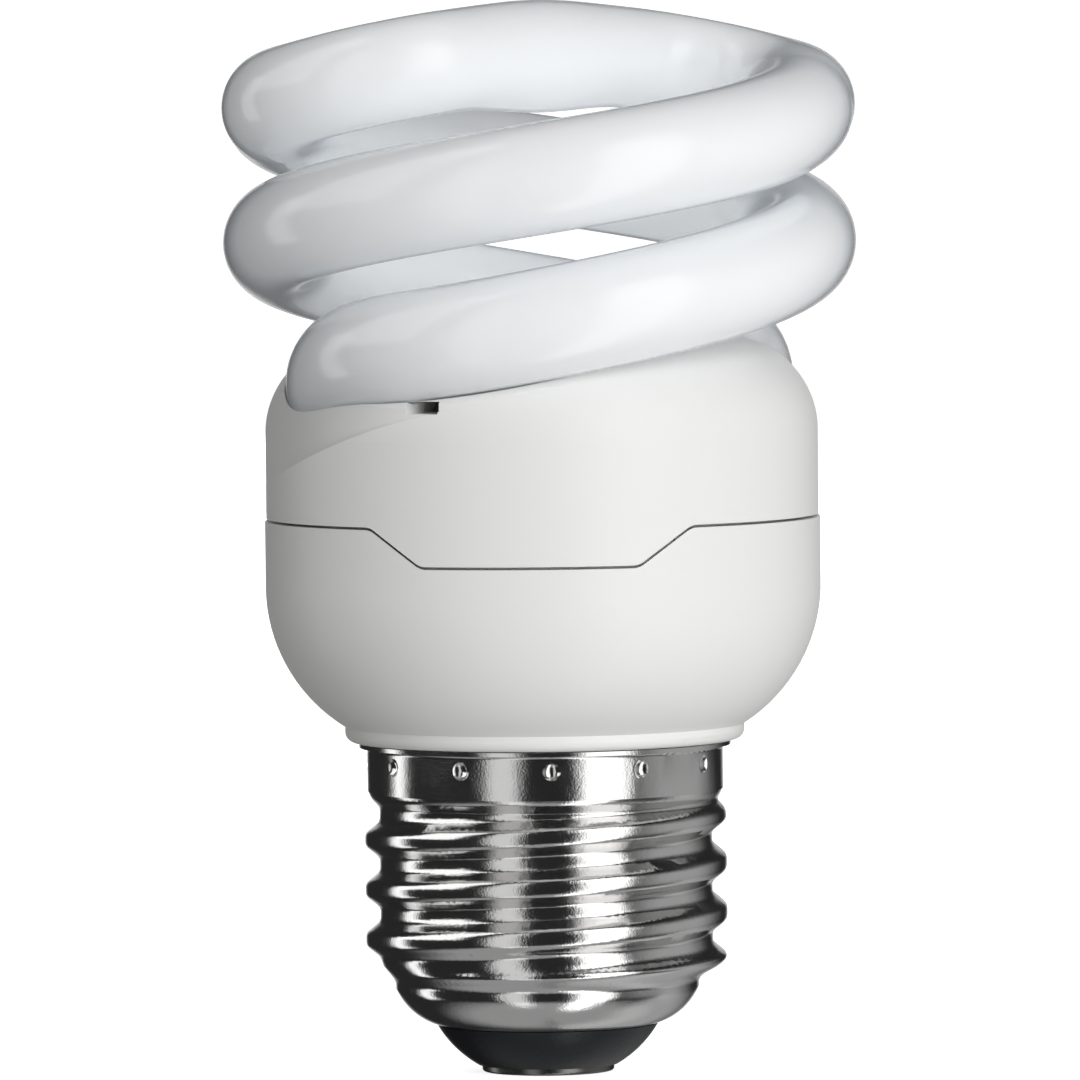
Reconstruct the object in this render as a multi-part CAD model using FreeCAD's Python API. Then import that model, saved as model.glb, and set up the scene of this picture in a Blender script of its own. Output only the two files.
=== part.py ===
import FreeCAD, Part
import math
import os

# Spiral energy saving lamp with an E26 screw cap, in millimetres.
# +Z runs up the lamp's axis from the cap to the coil, and the origin is the middle of the centre contact's face.
# -Y is the front, where the seam between the two housings drops in a tab.

Vector = FreeCAD.Vector
ORIGIN = Vector(0, 0, 0)
Z_AXIS = Vector(0, 0, 1)

# Centre contact and insulator
CONTACT_R = 4.8
CONTACT_T = 0.5
CONTACT_ROUND = 0.2
EYELET_R = 1.0
EYELET_BORE_R = 0.6
INSULATOR_LOW_R = 5.1
INSULATOR_TOP_Z = 5.9
FLANGE_SHARE = 0.31
INSULATOR_FLANGE_T = 1.2
INSULATOR_BULGE_R = 0.55
INSULATOR_BULGE_Z = 0.42
PART_GAP = 0.1
TOUCH = 0.05
CUT_LAP = 1.0

# Screw shell, rolled from sheet
SHELL_WALL = 0.3
SHELL_MOUTH_R = 8.1
SHELL_MOUTH_Z = 3.5
BOWL_R = 11.0
BOWL_TOP_Z = 6.3
BOWL_BULGE_R = 0.68
BOWL_BULGE_Z = 0.42
BOWL_BAND_LOW = 0.2
BOWL_BAND_TOP = 0.3
BOWL_LEAN = 0.8
SHELL_LAP = 0.02
THREAD_ROOT_R = 12.0
THREAD_CREST_R = 13.1
THREAD_PITCH = 3.629
THREAD_CREST_Z = 11.5
THREAD_RUN_IN = 1.7
THREAD_FOOT = 0.3
ROOT_BLEND = 1.4
COLLAR_BLEND = 1.0
BARREL_LAP = 0.4
THREAD_TOP_Z = 20.4
COLLAR_R = 12.9
COLLAR_Z = 20.5
COLLAR_FLARE_Z = 23.4
COLLAR_FLARE = 0.6
COLLAR_CURL = 0.3
THREAD_COLUMNS = 16
THREAD_ROWS_PER_PITCH = 8
DIMPLES = 12
DIMPLE_TURN = 5.0
DIMPLE_Z = 22.6
DIMPLE_SPHERE_R = 0.85
DIMPLE_DEPTH = 0.3

# Lower housing
LOWER_R = 20.15
LOWER_WALL = 1.45
FIT = 0.15
NECK_LOW_Z = 20.4
LIP_OVERHANG = 1.0
LIP_ROUND = 0.7
BOWL_ARC_R = 12.0
BELT_H = 5.0
RIBS = 6
RIB_T = 1.2
RIB_DEPTH = 2.2
RIB_H = 5.6
LEAD_NOTCH_H = 1.2

# Seam and its tabs
SEAM_Z = 40.4
SEAM_GAP = 0.2
TAB_DROP = 2.75
TAB_HALF_TOP = 11.5
TAB_HALF_LOW = 7.8
TAB_ROUND = 1.2
TAB_SHOULDER = 4.0
TAB_LID = 0.6

# Upper housing
SEAM_STEP = 0.1
UPPER_H = 12.9
UPPER_WALL = 1.25
SHOULDER_ARC_R = 6.8
SKIRT_T = 1.1
SKIRT_ROOT_H = 1.6
SKIRT_TAPER = 1.0
SNAP_DROP = 1.7
SNAP_H = 0.7
SNAP_DEPTH = 0.3
SNAP_SPAN = 24.0

# Discharge tube: turn angles are in degrees about the axis, and -90 is the front of the coil
TUBE_R = 4.0
COIL_INSET = 1.1
COIL_TURN = 3.0
BEND_R = 14.0
BRIDGE_R = 7.6
BRIDGE_THIN_R = 3.7
BRIDGE_MIDDLE_R = 4.1
BRIDGE_SECTIONS = 12
THIN_RUN = 7.0
BRIDGE_LEAD = 3.0
END_ANGLE = -218.0
BEND_ANGLE = -180.0
HEEL_ANGLE = -156.0
SADDLE_ANGLE = -125.0
LEAVE_ANGLE = -95.0
CROSS_ANGLE = 180.0
RISE_ANGLE = 246.0
STATION_STEP = 9.0
SEAL_H = 3.0
TIP_R = 1.1
TIP_LENGTH = 5.2
SEAL_BULGE_R = 0.72
SEAL_BULGE_H = 0.7
SOCKET_END = -206.0
TUNNEL_END = -226.0
CEMENT_TOP = -190.0
CEMENT_GAP = 0.05
CEMENT_INSET = 2.0
MOUTH_LAP = 1.0

# How high the tube's centre line lies over the top of the housing
END_RISE = -7.9
BEND_RISE = -3.2
HEEL_RISE = -1.1
SADDLE_RISE = 0.1
FRONT_RISE = 1.55
RIGHT_RISE = 7.0
BACK_RISE = 11.9
CROSS_RISE = 16.85
BRIDGE_RISE = 18.7
SWING_RISE = 20.2
AXIS_RISE = 20.4
END_SLOPE = 0.5

# Helical ramp under each limb of the tube: heights are over the seam, depths are into the wall
RAMP_START = -182.0
RAMP_NOSE_ANGLE = -150.0
RAMP_LEDGE_ANGLE = -125.0
RAMP_HIGH_ANGLE = -85.0
RAMP_END = -44.0
RAMP_LOW_H = 2.25
RAMP_NOSE_H = 4.5
RAMP_LEDGE_H = 7.15
RAMP_HIGH_H = 10.05
RAMP_NOSE_DEPTH = 1.0
RAMP_LEDGE_DEPTH = 0.55
RAMP_DEPTH = 1.4
RAMP_LAP = 0.1
MOUTH_CLEARANCE = 0.1
CHANNEL_CLEARANCE = 0.35
CHANNEL_OPEN_ANGLE = -30.0
VENT_ANGLE = -115.7
VENT_SPAN = 7.3
VENT_RISE = 0.95
VENT_H = 0.9
VENT_DEPTH = 6.0

# Circuit board and what it carries
BOARD_DROP = 4.8
BOARD_T = 1.2
BOARD_CLEARANCE = 0.3
BOARD_DRAWN_R = 18.4
NECK_DRAWN_R = 11.0
LEAD_R = 0.3
LEAD_STUB = 0.6
LEAD_ROOT = 0.4
HOLE_CLEARANCE = 0.1
POST_SIDE = 0.7
POST_H = 3.4
FILAMENT_SPACING = 1.9
FILAMENT_WIRE_R = 0.2
FILAMENT_REACH = 2.6
WRAP_WIRE_R = 0.25
WRAP_DROP = 0.8

# Sizes that follow from others
INSULATOR_FLANGE_R = SHELL_MOUTH_R + FLANGE_SHARE * (BOWL_R - SHELL_MOUTH_R)
COLLAR_FLARE_R = COLLAR_R + COLLAR_FLARE
NECK_R = COLLAR_R - SHELL_WALL - FIT
NECK_BORE_R = NECK_R - LOWER_WALL
LIP_R = COLLAR_FLARE_R + LIP_OVERHANG
LIP_Z = COLLAR_FLARE_Z + COLLAR_CURL + SHELL_WALL + PART_GAP
LOWER_BORE_R = LOWER_R - LOWER_WALL
BOWL_ARC_Z = SEAM_Z - BELT_H
UPPER_R = LOWER_R - SEAM_STEP
TOP_Z = SEAM_Z + UPPER_H
SKIRT_R = LOWER_BORE_R - FIT
SNAP_Z = SEAM_Z - SNAP_DROP
COIL_R = UPPER_R - COIL_INSET
SWING_ANGLE = 270.0 + math.degrees(math.asin(BRIDGE_R / (COIL_R - BRIDGE_R)))
BOARD_R = LOWER_BORE_R - BOARD_CLEARANCE
BOARD_Z = SEAM_Z - BOARD_DROP
BOARD_TOP_Z = BOARD_Z + BOARD_T

# The parts on the board keep to its size, and those in the neck to the neck's as well
LAYOUT = BOARD_R / BOARD_DRAWN_R
NECK_LAYOUT = min(LAYOUT, NECK_BORE_R / NECK_DRAWN_R)

CAPACITOR_R = 5.0 * NECK_LAYOUT
CAPACITOR_H = 16.0 * NECK_LAYOUT
CAPACITOR_ROUND = 0.4 * NECK_LAYOUT
CAPACITOR_DISH = 0.25 * NECK_LAYOUT
CAPACITOR_RIM = 0.5 * NECK_LAYOUT
GROOVE_DEPTH = 0.45 * NECK_LAYOUT
GROOVE_H = 1.2 * NECK_LAYOUT
GROOVE_DROP = 2.4 * NECK_LAYOUT
CAPACITOR_AT = Vector(-4.3, 3.7, 0) * NECK_LAYOUT
CAPACITOR_PITCH = 5.0 * NECK_LAYOUT

CHOKE_AT = Vector(4.6, -5.2, 0) * LAYOUT
CHOKE_WIDTH = 12.0 * LAYOUT
CHOKE_DEPTH = 5.0 * LAYOUT
CHOKE_HALF_H = 4.1 * LAYOUT
CHOKE_BACK = 1.5 * LAYOUT
CHOKE_OUTER_LEG = 1.6 * LAYOUT
CHOKE_CENTRE_LEG = 3.2 * LAYOUT
BOBBIN_WALL = 0.5 * LAYOUT
BOBBIN_BASE_H = 0.8 * LAYOUT
BOBBIN_PIN_X = 4.5 * LAYOUT
BOBBIN_PIN_Y = 3.2 * LAYOUT
BOBBIN_FIT = 0.1 * LAYOUT
BOBBIN_EDGE = 0.6 * LAYOUT
CHEEK_T = 1.6 * LAYOUT
WINDING_T = 1.7 * LAYOUT
WINDING_ROUND = 1.4 * LAYOUT

RING_AT = Vector(8.2, 5.0, 0) * LAYOUT
RING_R = 4.1 * LAYOUT
RING_BORE_R = 2.4 * LAYOUT
RING_H = 3.4 * LAYOUT
RING_WIRE = 0.4 * LAYOUT
RING_WINDINGS = 3
RING_WINDING_SPAN = 62.0

TRANSISTOR_W = 4.6 * LAYOUT
TRANSISTOR_D = 3.6 * LAYOUT
TRANSISTOR_H = 4.6 * LAYOUT
TRANSISTOR_PITCH = 1.27 * LAYOUT
TRANSISTOR_STAND = 0.8 * LAYOUT
TRANSISTOR_LEAD_R = 0.22 * LAYOUT
HIGH_TRANSISTOR_AT = Vector(-10.8, -3.4, 0) * LAYOUT
LOW_TRANSISTOR_AT = Vector(-12.2, 2.7, 0) * LAYOUT

FILM_ROUND = 0.8 * LAYOUT
FILM_PITCH = 4.0 * LAYOUT
SNUBBER_PITCH = 2.5 * LAYOUT
START_CAPACITOR_SIZE = Vector(8.0, 3.4, 6.0) * LAYOUT
START_CAPACITOR_AT = Vector(2.0, 11.7, 0) * LAYOUT
BLOCKING_CAPACITOR_SIZE = Vector(7.0, 3.6, 6.5) * LAYOUT
BLOCKING_CAPACITOR_AT = Vector(-6.0, -10.1, 0) * LAYOUT
SNUBBER_CAPACITOR_SIZE = Vector(5.0, 2.2, 3.4) * LAYOUT
SNUBBER_CAPACITOR_AT = Vector(12.4, -4.6, 0) * LAYOUT

INDUCTOR_AT = Vector(-9.2, 10.5, 0) * LAYOUT
INDUCTOR_R = 2.4 * LAYOUT
INDUCTOR_H = 6.0 * LAYOUT
INDUCTOR_WAIST_R = 1.2 * LAYOUT
INDUCTOR_FLANGE = 0.9 * LAYOUT
INDUCTOR_PITCH = 2.5 * LAYOUT
INDUCTOR_SPARE = 0.25 * LAYOUT

DIODE_R = 1.35 * LAYOUT
DIODE_L = 5.0 * LAYOUT
DIODE_ROW_Y = -10.3 * LAYOUT
DIODE_PITCH = 4.0 * LAYOUT
TRIGGER_R = 0.9 * LAYOUT
TRIGGER_L = 3.6 * LAYOUT
TRIGGER_AT = Vector(12.6, 3.0, 0) * LAYOUT
RESISTOR_R = 1.15 * LAYOUT
RESISTOR_L = 5.6 * LAYOUT
RESISTOR_ROW_Y = 10.3 * LAYOUT
RESISTOR_PITCH = 4.0 * LAYOUT
AXIAL_REACH = 1.3 * LAYOUT
AXIAL_BEND = 0.6

FUSE_AT = Vector(2.2, 0.9, 0) * NECK_LAYOUT
FUSE_R = 1.6 * NECK_LAYOUT
FUSE_WAIST = 0.2 * NECK_LAYOUT
FUSE_CAP_H = 1.6 * NECK_LAYOUT
FUSE_CHAMFER = 0.4 * NECK_LAYOUT
FUSE_TOP_Z = 17.5
FUSE_L = 9.0 * NECK_LAYOUT
SUPPLY_WIRE_R = 0.35

SHELL_LEAD_ANGLE = 0.0
SHELL_LEAD_GAP = 0.4
SHELL_LEAD_RISE = 0.6
SHELL_LEAD_BEND = 0.6
CONTACT_LEAD_BEND = 0.5
CONTACT_LEAD_DROP = 1.4

drilled = []


def polar(radius, angle, z=0.0):
    """The point at this radius, angle in degrees and height."""
    return Vector(radius * math.cos(math.radians(angle)), radius * math.sin(math.radians(angle)), z)


def arc_point(centre_r, centre_z, radius, angle):
    """A point of a profile arc, as radius from the lamp's axis and height."""
    spot = polar(radius, angle)
    return centre_r + spot.x, centre_z + spot.y


def turned(shape, angle):
    copy = shape.copy()
    copy.rotate(ORIGIN, Z_AXIS, angle)
    return copy


def placed(shape, point, direction):
    """The shape with its +Z axis laid along a direction, standing on a point."""
    copy = shape.copy()
    copy.Placement = FreeCAD.Placement(point, FreeCAD.Rotation(Z_AXIS, direction))
    return copy


def revolved(points):
    """A solid of revolution about the axis. An item of four numbers is an arc through its first point to its second."""
    edges = []
    last = points[0]
    for item in list(points[1:]) + [points[0]]:
        start = Vector(last[-2], 0, last[-1])
        end = Vector(item[-2], 0, item[-1])
        if len(item) == 4:
            edges.append(Part.Arc(start, Vector(item[0], 0, item[1]), end).toShape())
        elif (end - start).Length > 1e-6:
            edges.append(Part.makeLine(start, end))
        last = item
    return Part.Face(Part.Wire(edges)).revolve(ORIGIN, Z_AXIS, 360)


def ring(inner_r, outer_r, low_z, high_z):
    return revolved([(inner_r, low_z), (outer_r, low_z), (outer_r, high_z), (inner_r, high_z)])


def cylinder(radius, low, length, direction=Z_AXIS):
    return Part.makeCylinder(radius, length, low, direction)


def block(centre, width, depth, low_z, height):
    corner = Vector(centre.x - width / 2, centre.y - depth / 2, low_z)
    return Part.makeBox(width, depth, height, corner)


def tangent_arc(start, corner, end):
    """The arc that leaves start towards corner and reaches end from it. Both are as far from the corner."""
    chord_middle = (start + end) * 0.5
    reach = (corner - start).Length
    inward = chord_middle - corner
    radius = reach * (chord_middle - start).Length / inward.Length
    centre = corner + inward.normalize() * math.sqrt(radius ** 2 + reach ** 2)
    outward = (corner - centre).normalize()
    return Part.Arc(start, centre + outward * radius, end).toShape()


def rounded_path(points, radius):
    """Straight runs through the points, with each corner rounded."""
    edges = []
    here = points[0]
    for before, corner, after in zip(points, points[1:], points[2:]):
        coming = (corner - before).normalize()
        going = (after - corner).normalize()
        reach = radius * math.tan(coming.getAngle(going) / 2)
        start = corner - coming * reach
        end = corner + going * reach
        edges.append(Part.makeLine(here, start))
        edges.append(tangent_arc(start, corner, end))
        here = end
    edges.append(Part.makeLine(here, points[-1]))
    return edges


def swept(edges, radius):
    """A round bar along a smooth chain of edges."""
    path = Part.Wire(edges)
    first = edges[0]
    start = first.valueAt(first.FirstParameter)
    direction = first.tangentAt(first.FirstParameter)
    section = Part.Wire([Part.makeCircle(radius, start, direction)])
    return path.makePipeShell([section], True, False)


def bent_wire(points, radius, bend):
    return swept(rounded_path(points, bend), radius)


def stages():
    """The tube's plan as three arcs: the end's bend, the coil, and the bend into the bridge."""
    return [
        (END_ANGLE, LEAVE_ANGLE, polar(COIL_R - BEND_R, LEAVE_ANGLE), BEND_R),
        (LEAVE_ANGLE, CROSS_ANGLE, ORIGIN, COIL_R),
        (CROSS_ANGLE, SWING_ANGLE, polar(COIL_R - BRIDGE_R, CROSS_ANGLE), BRIDGE_R),
    ]


def plan_length(angle):
    """How far along its plan the tube has come at a turn angle, counted from its sealed end."""
    length = 0.0
    for index, (start, end, centre, radius) in enumerate(stages()):
        covered = min(angle, end) - start
        if index > 0:
            covered = max(covered, 0.0)
        length += radius * math.radians(covered)
    return length


CROSS_LENGTH = plan_length(CROSS_ANGLE)
SWING_LENGTH = plan_length(SWING_ANGLE)
AXIS_LENGTH = SWING_LENGTH + math.sqrt((COIL_R - BRIDGE_R) ** 2 - BRIDGE_R ** 2)


def height_curve():
    """The tube's height over its plan length, as a smooth curve through the key heights."""
    turns = [
        (END_ANGLE, END_RISE),
        (BEND_ANGLE, BEND_RISE),
        (HEEL_ANGLE, HEEL_RISE),
        (SADDLE_ANGLE, SADDLE_RISE),
        (-90.0, FRONT_RISE),
        (0.0, RIGHT_RISE),
        (90.0, BACK_RISE),
        (CROSS_ANGLE, CROSS_RISE),
        (RISE_ANGLE, BRIDGE_RISE),
        (SWING_ANGLE, SWING_RISE),
    ]
    keys = [(plan_length(angle), rise) for angle, rise in turns] + [(AXIS_LENGTH, AXIS_RISE)]
    curve = Part.BSplineCurve()
    curve.interpolate(
        Points=[Vector(length, TOP_Z + rise, 0) for length, rise in keys],
        Parameters=[length for length, rise in keys],
        InitialTangent=Vector(1, END_SLOPE, 0),
        FinalTangent=Vector(1, 0, 0),
        Scale=False,
    )
    return curve


HEIGHTS = height_curve()


def tube_plan(length):
    """The tube's plan point and its heading in degrees. Past the last arc it runs straight to the axis."""
    if length > SWING_LENGTH:
        heading = SWING_ANGLE + 90.0
        return polar(AXIS_LENGTH - length, heading + 180.0), heading
    done = 0.0
    for start, end, centre, radius in stages():
        reach = radius * math.radians(end - start)
        if length <= done + reach + 1e-9:
            break
        done += reach
    angle = start + math.degrees((length - done) / radius)
    return centre + polar(radius, angle), angle + 90.0


def tube_frame(length):
    """The tube's centre and its direction, so far along its plan."""
    if length < 0:
        height = TOP_Z + END_RISE + END_SLOPE * length
        slope = END_SLOPE
    else:
        height = HEIGHTS.value(length).y
        rate = HEIGHTS.getD1(length)[1]
        slope = rate.y / rate.x
    spot, heading = tube_plan(length)
    run = polar(1.0, heading)
    return Vector(spot.x, spot.y, height), Vector(run.x, run.y, slope).normalize()


def stations(first, last):
    """Plan lengths from first to last, in even steps that keep the joint of the bend and the coil."""
    leave = plan_length(LEAVE_ANGLE)
    marks = [first] + [leave] * (first < leave < last) + [last]
    lengths = [first]
    for a, b in zip(marks, marks[1:]):
        count = max(1, int(math.ceil((b - a) / STATION_STEP)))
        lengths += [a + (b - a) * (i + 1) / count for i in range(count)]
    return lengths


def limb_edges(first, last):
    """The tube's centre line between two plan lengths, as pairs of arcs that are tangent where they meet."""
    lengths = stations(first, last)
    edges = []
    for a, b in zip(lengths, lengths[1:]):
        start, leaving = tube_frame(a)
        end, arriving = tube_frame(b)
        span = end - start
        both = leaving + arriving
        square = 4 - both.dot(both)
        cross = span.dot(both)
        reach = (math.sqrt(cross ** 2 + square * span.dot(span)) - cross) / square
        low_corner = start + leaving * reach
        high_corner = end - arriving * reach
        middle = (low_corner + high_corner) * 0.5
        edges.append(tangent_arc(start, low_corner, middle))
        edges.append(tangent_arc(middle, high_corner, end))
    return edges


def limb(first, last, radius):
    """A round bar along one limb of the tube, between two turn angles."""
    return turned(swept(limb_edges(plan_length(first), plan_length(last)), radius), COIL_TURN)


def smooth_step(value):
    value = min(max(value, 0.0), 1.0)
    return value * value * (3 - 2 * value)


def bridge_radius(length):
    """The tube's radius on its way to the axis: drawn thin in the bend, and full in the straight middle."""
    thinning = smooth_step((length - CROSS_LENGTH) / THIN_RUN)
    filling = smooth_step((length - SWING_LENGTH) / (AXIS_LENGTH - SWING_LENGTH))
    return TUBE_R + (BRIDGE_THIN_R - TUBE_R) * thinning + (BRIDGE_MIDDLE_R - BRIDGE_THIN_R) * filling


def round_section(point, direction, radius):
    """A circle square to a direction, which starts level with its centre."""
    side = Z_AXIS.cross(direction).normalize()
    circle = Part.makeCircle(radius)
    circle.Placement = FreeCAD.Placement(point, FreeCAD.Rotation(side, direction.cross(side), direction, "ZXY"))
    return Part.Wire([circle])


def bridge(start):
    """The crossing over the top, between the two limbs, from a plan length on one to the same on the other."""
    half_turn = FreeCAD.Rotation(Z_AXIS, 180)
    rising = []
    falling = []
    for i in range(BRIDGE_SECTIONS + 1):
        length = start + (AXIS_LENGTH - start) * i / BRIDGE_SECTIONS
        point, direction = tube_frame(length)
        radius = bridge_radius(length)
        rising.append(round_section(point, direction, radius))
        falling.append(round_section(half_turn * point, half_turn * direction * -1, radius))
    return Part.makeLoft(rising + falling[-2::-1], True)


def seal():
    """The domed, sealed end of the tube, with the stub of its exhaust tip, standing on +Z."""
    slant = TUBE_R - TIP_R
    shoulder = (TIP_R + slant * SEAL_BULGE_R, SEAL_H * SEAL_BULGE_H)
    return revolved([
        (0, 0),
        (TUBE_R, 0),
        shoulder + (TIP_R, SEAL_H),
        (TIP_R, TIP_LENGTH),
        (0, TIP_LENGTH),
    ])


def end_frame():
    """The sealed end's centre, outward direction and sideways direction in plan."""
    point, inward = tube_frame(0.0)
    outward = inward * -1
    side = Z_AXIS.cross(outward).normalize()
    return point, outward, side


def discharge_tube():
    """Two like limbs, each with its sealed end, joined by the bridge."""
    top = CROSS_LENGTH - BRIDGE_LEAD
    lower = swept(limb_edges(0.0, top), TUBE_R)
    point, outward, side = end_frame()
    cap = placed(seal(), point, outward)
    tube = lower.fuse([cap, bridge(top), turned(lower, 180), turned(cap, 180)])
    return turned(tube, COIL_TURN)


def tube_cement():
    """A collar of cement round each tube end, inside its socket."""
    outer = limb(SOCKET_END + CEMENT_INSET, CEMENT_TOP, TUBE_R + CHANNEL_CLEARANCE - CEMENT_GAP)
    inner = limb(SOCKET_END, CEMENT_TOP + CEMENT_INSET, TUBE_R + CEMENT_GAP)
    collar = outer.cut(inner)
    return Part.makeCompound([collar, turned(collar, 180)])


def ramp_keys(inset):
    """Turn angle, wall radius and height of the ramp at its keys, each set in by the wall for the inner form."""
    keys = [
        (RAMP_START, 0.0, SEAM_Z + RAMP_LOW_H),
        (RAMP_NOSE_ANGLE, RAMP_NOSE_DEPTH, SEAM_Z + RAMP_NOSE_H),
        (RAMP_LEDGE_ANGLE, RAMP_LEDGE_DEPTH, SEAM_Z + RAMP_LEDGE_H),
        (RAMP_HIGH_ANGLE, RAMP_DEPTH, SEAM_Z + RAMP_HIGH_H),
        (RAMP_END, RAMP_DEPTH, TOP_Z + RAMP_LAP),
    ]
    return [(angle, UPPER_R + RAMP_LAP - depth - inset, z - inset) for angle, depth, z in keys]


def ramp_cutter(inset):
    """The space above the helical ramp, outside the wall that carries the tube."""
    keys = ramp_keys(inset)
    angles = [angle for angle, wall, z in keys]
    walls = Part.BSplineCurve()
    walls.interpolate(Points=[Vector(a, w, 0) for a, w, z in keys], Parameters=angles)
    heights = Part.BSplineCurve()
    heights.interpolate(Points=[Vector(a, z, 0) for a, w, z in keys], Parameters=angles)
    inner = []
    outer = []
    steps = 16
    for i in range(steps + 1):
        angle = RAMP_START + (RAMP_END - RAMP_START) * i / steps
        inner.append(polar(walls.value(angle).y, angle, heights.value(angle).y))
        outer.append(polar(UPPER_R + SHOULDER_ARC_R, angle, heights.value(angle).y))
    inner_curve = Part.BSplineCurve()
    inner_curve.interpolate(inner)
    outer_curve = Part.BSplineCurve()
    outer_curve.interpolate(outer)
    floor = Part.makeRuledSurface(inner_curve.toShape(), outer_curve.toShape())
    return turned(floor.extrude(Z_AXIS * (UPPER_H + UPPER_WALL)), COIL_TURN)


def upper_form(inset, low_z, channel_end):
    """The upper housing's outer form, or the form of its inside when it is set in by the wall."""
    shoulder_r = UPPER_R - SHOULDER_ARC_R
    shoulder_z = TOP_Z - SHOULDER_ARC_R
    arc = SHOULDER_ARC_R - inset
    bulge = arc_point(shoulder_r, shoulder_z, arc, 45)
    body = revolved([
        (0, low_z),
        (UPPER_R - inset, low_z),
        (UPPER_R - inset, shoulder_z),
        bulge + (shoulder_r, TOP_Z - inset),
        (0, TOP_Z - inset),
    ])
    socket = limb(channel_end, CEMENT_TOP, TUBE_R + CHANNEL_CLEARANCE + inset)
    mouth = limb(CEMENT_TOP - MOUTH_LAP, CHANNEL_OPEN_ANGLE, TUBE_R + MOUTH_CLEARANCE + inset)
    ramp = ramp_cutter(inset)
    body = body.cut([mouth, turned(mouth, 180)]).cut([socket, turned(socket, 180)])
    return body.cut([ramp, turned(ramp, 180)])


def seam_prism(drop):
    """Everything in front of the lamp above the seam line, with the tab's outline, lowered by drop."""
    low_z = SEAM_Z - TAB_DROP
    edges = rounded_path([
        Vector(-TAB_HALF_TOP - TAB_SHOULDER, 0, SEAM_Z),
        Vector(-TAB_HALF_TOP, 0, SEAM_Z),
        Vector(-TAB_HALF_LOW, 0, low_z),
        Vector(TAB_HALF_LOW, 0, low_z),
        Vector(TAB_HALF_TOP, 0, SEAM_Z),
        Vector(TAB_HALF_TOP + TAB_SHOULDER, 0, SEAM_Z),
    ], TAB_ROUND)
    right = Vector(TAB_HALF_TOP + TAB_SHOULDER, 0, SEAM_Z)
    left = Vector(-TAB_HALF_TOP - TAB_SHOULDER, 0, SEAM_Z)
    up = Z_AXIS * TAB_LID
    edges.append(Part.makeLine(right, right + up))
    edges.append(Part.makeLine(right + up, left + up))
    edges.append(Part.makeLine(left + up, left))
    prism = Part.Face(Part.Wire(edges)).extrude(Vector(0, -LOWER_R * 1.5, 0))
    prism.translate(Z_AXIS * -drop)
    return prism


def snap_beads(inner_r, outer_r, low_z, high_z, span):
    """Four short beads round the skirt."""
    bead = revolved_span([(inner_r, low_z), (outer_r, low_z), (outer_r, high_z), (inner_r, high_z)], span)
    return [turned(bead, 45 + 90 * i - span / 2) for i in range(4)]


def revolved_span(points, span):
    corners = [Vector(r, 0, z) for r, z in points]
    return Part.Face(Part.makePolygon(corners + [corners[0]])).revolve(ORIGIN, Z_AXIS, span)


def vent():
    """A slot through the wall under the tube, where the tube goes down into the housing."""
    width = math.radians(VENT_SPAN) * UPPER_R
    slot = Part.makeBox(VENT_DEPTH, width, VENT_H, Vector(UPPER_R - VENT_DEPTH, -width / 2, 0))
    slot.translate(Z_AXIS * (SEAM_Z + RAMP_LEDGE_H + VENT_RISE))
    return turned(slot, VENT_ANGLE + COIL_TURN)


def upper_housing():
    skirt_bore = SKIRT_R - SKIRT_T
    outer = upper_form(0.0, SEAM_Z, TUNNEL_END)
    inner = upper_form(UPPER_WALL, SEAM_Z - CUT_LAP, SOCKET_END)
    shell = outer.cut(inner)
    skirt_low = BOARD_TOP_Z + PART_GAP
    skirt = revolved([
        (skirt_bore, skirt_low),
        (SKIRT_R, skirt_low),
        (SKIRT_R, SEAM_Z),
        (UPPER_R - UPPER_WALL / 2, SEAM_Z),
        (UPPER_R - UPPER_WALL / 2, SEAM_Z + SKIRT_ROOT_H),
        (UPPER_R - UPPER_WALL, SEAM_Z + SKIRT_ROOT_H),
        (skirt_bore, SEAM_Z + SKIRT_ROOT_H - SKIRT_TAPER),
    ])
    tab_ring = ring(SKIRT_R - SKIRT_T / 2, UPPER_R, SEAM_Z - TAB_DROP - CUT_LAP, SEAM_Z + UPPER_WALL / 2)
    tab = tab_ring.common(seam_prism(0.0))
    beads = snap_beads(SKIRT_R - SKIRT_T / 2, SKIRT_R + SNAP_DEPTH, SNAP_Z, SNAP_Z + SNAP_H, SNAP_SPAN)
    shell = shell.fuse([skirt, tab, turned(tab, 180)] + beads)
    return shell.cut([vent(), turned(vent(), 180)])


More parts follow.
